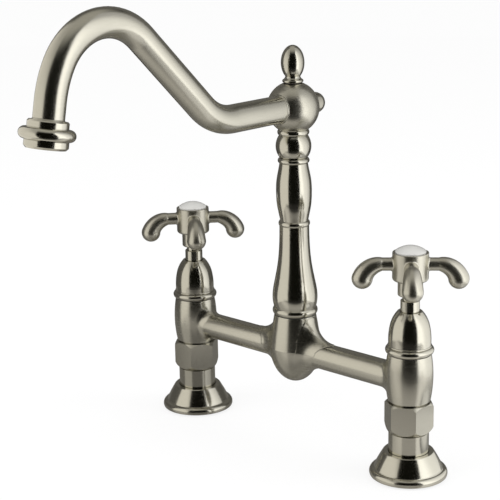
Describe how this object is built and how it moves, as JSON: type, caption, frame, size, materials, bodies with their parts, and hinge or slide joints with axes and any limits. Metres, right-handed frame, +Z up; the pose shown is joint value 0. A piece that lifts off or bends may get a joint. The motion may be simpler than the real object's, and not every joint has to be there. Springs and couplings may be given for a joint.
{
  "type": "bridge kitchen faucet",
  "caption": "Bridge kitchen faucet: two cross handle valves on risers with bell flanges, joined by round arms to a hub with a turned column and a swivelling bent spout.",
  "frame": {"origin": "on the deck plane, midway between the two inlets", "axes": "+Z up from the deck, X along the bridge with the hot side at -X, the spout reaches towards -Y"},
  "size_m": [0.2658, 0.2636, 0.3246],
  "materials": {
    "satin_nickel": "brushed nickel plating over solid brass",
    "brass": "bare turned brass",
    "porcelain": "white glazed porcelain",
    "ceramic": "lapped alumina ceramic",
    "rubber": "smooth",
    "fibre": "pressed fibre",
    "steel": "stainless",
    "wear_plastic": "low friction acetal",
    "aerator_plastic": "moulded"
  },
  "bodies": {
    "body": {"hot_deck_flange": "satin_nickel", "hot_deck_gasket": "rubber", "hot_riser": "satin_nickel", "hot_tailpiece": "brass", "hot_union_nut": "satin_nickel", "hot_union_washer": "fibre", "hot_seat_seal": "rubber", "hot_fixed_disc": "ceramic", "hot_cartridge_body": "brass", "hot_stem_guide": "satin_nickel", "hot_bonnet_gasket": "rubber", "hot_bonnet": "satin_nickel", "cold_deck_flange": "satin_nickel", "cold_deck_gasket": "rubber", "cold_riser": "satin_nickel", "cold_tailpiece": "brass", "cold_union_nut": "satin_nickel", "cold_union_washer": "fibre", "cold_seat_seal": "rubber", "cold_fixed_disc": "ceramic", "cold_cartridge_body": "brass", "cold_stem_guide": "satin_nickel", "cold_bonnet_gasket": "rubber", "cold_bonnet": "satin_nickel", "bridge_casting": "satin_nickel", "swivel_washer": "wear_plastic", "spout_retaining_screw": "steel"},
    "spout": {"spout_column": "satin_nickel", "swivel_o_rings": "rubber", "spout_ball": "satin_nickel", "ball_finial": "satin_nickel", "finial_washer": "fibre", "rear_plug": "satin_nickel", "plug_washer": "fibre", "spout_tube": "satin_nickel", "outlet_ferrule": "satin_nickel", "aerator_housing": "satin_nickel", "aerator_insert": "aerator_plastic", "aerator_washer": "rubber"},
    "hot_handle": {"hot_cross_handle": "satin_nickel", "hot_index_button": "porcelain", "hot_handle_screw": "steel", "hot_spindle": "brass", "hot_spindle_o_rings": "rubber", "hot_moving_disc": "ceramic"},
    "cold_handle": {"cold_cross_handle": "satin_nickel", "cold_index_button": "porcelain", "cold_handle_screw": "steel", "cold_spindle": "brass", "cold_spindle_o_rings": "rubber", "cold_moving_disc": "ceramic"}
  },
  "joints": [
    {"name": "spout_swivel", "type": "hinge", "parent": "body", "child": "spout", "pos_m": [0, 0, 0.0945], "axis": [0, 0, 1], "continuous": true},
    {"name": "hot_valve", "type": "hinge", "parent": "body", "child": "hot_handle", "pos_m": [-0.1016, 0, 0.1253], "axis": [0, 0, 1], "range_deg": [0, 90]},
    {"name": "cold_valve", "type": "hinge", "parent": "body", "child": "cold_handle", "pos_m": [0.1016, 0, 0.1253], "axis": [0, 0, 1], "range_deg": [-90, 0]}
  ]
}
